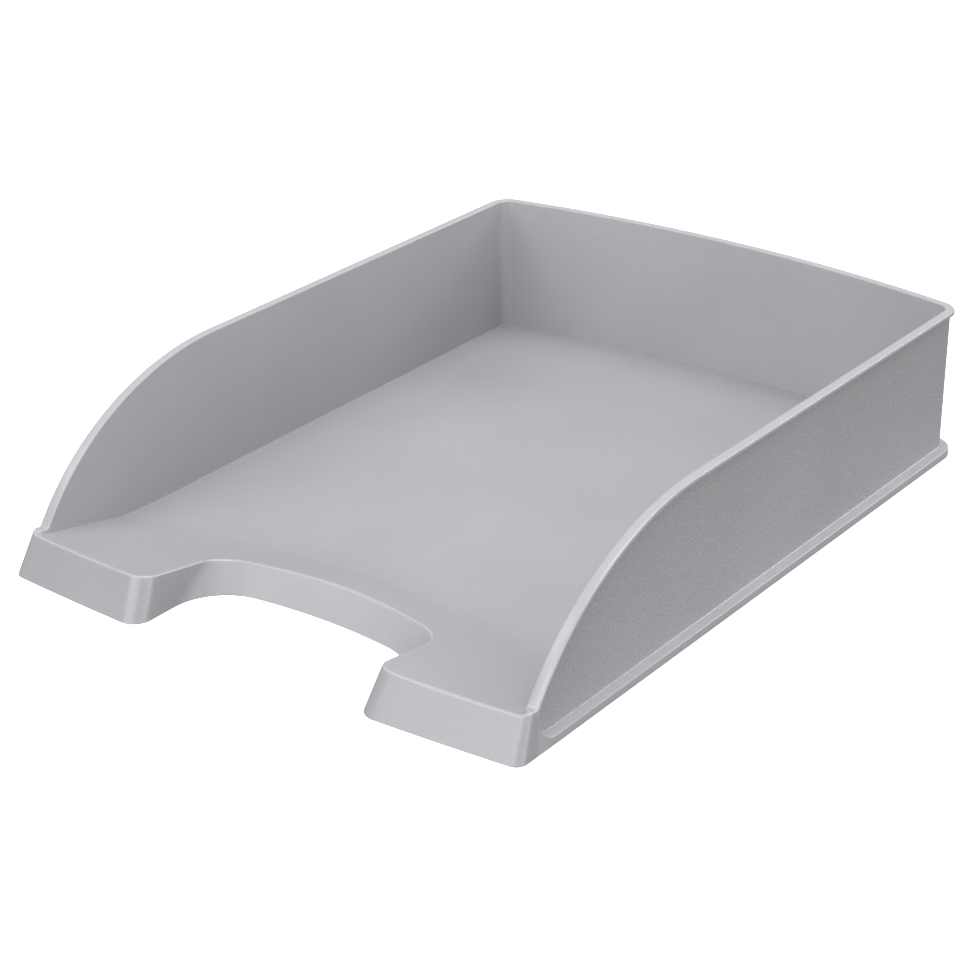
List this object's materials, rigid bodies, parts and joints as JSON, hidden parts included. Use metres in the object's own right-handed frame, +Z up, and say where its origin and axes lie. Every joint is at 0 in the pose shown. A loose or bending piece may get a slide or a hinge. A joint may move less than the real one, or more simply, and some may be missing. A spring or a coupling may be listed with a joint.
{
  "type": "letter tray",
  "caption": "Stackable desk letter tray for A4 sheets: low box with swept side walls, bowed rear wall, flat rim, base flange and a finger cut-out in the sloped front.",
  "frame": {"origin": "middle of the underside, on the desk surface", "axes": "+Z up, +Y towards the closed rear wall, +X to the right of someone facing the open front"},
  "size_m": [0.255, 0.3558, 0.07],
  "materials": {
    "polystyrene": "fine eroded grain, satin, mid grey"
  },
  "bodies": {
    "root": {"floor_deck": "polystyrene", "floor_blend": "polystyrene", "front_bridge": "polystyrene", "cutout_rear": "polystyrene", "cutout_side_left": "polystyrene", "cutout_side_right": "polystyrene", "lug_top_left": "polystyrene", "lug_top_right": "polystyrene", "lug_front_left": "polystyrene", "lug_front_right": "polystyrene", "lug_cheek_left": "polystyrene", "lug_cheek_right": "polystyrene", "side_wall_left": "polystyrene", "side_wall_right": "polystyrene", "rear_wall": "polystyrene", "rim_side_left": "polystyrene", "rim_side_right": "polystyrene", "rim_rear": "polystyrene", "skirt_side_left": "polystyrene", "skirt_side_right": "polystyrene", "skirt_rear": "polystyrene"}
  },
  "joints": []
}
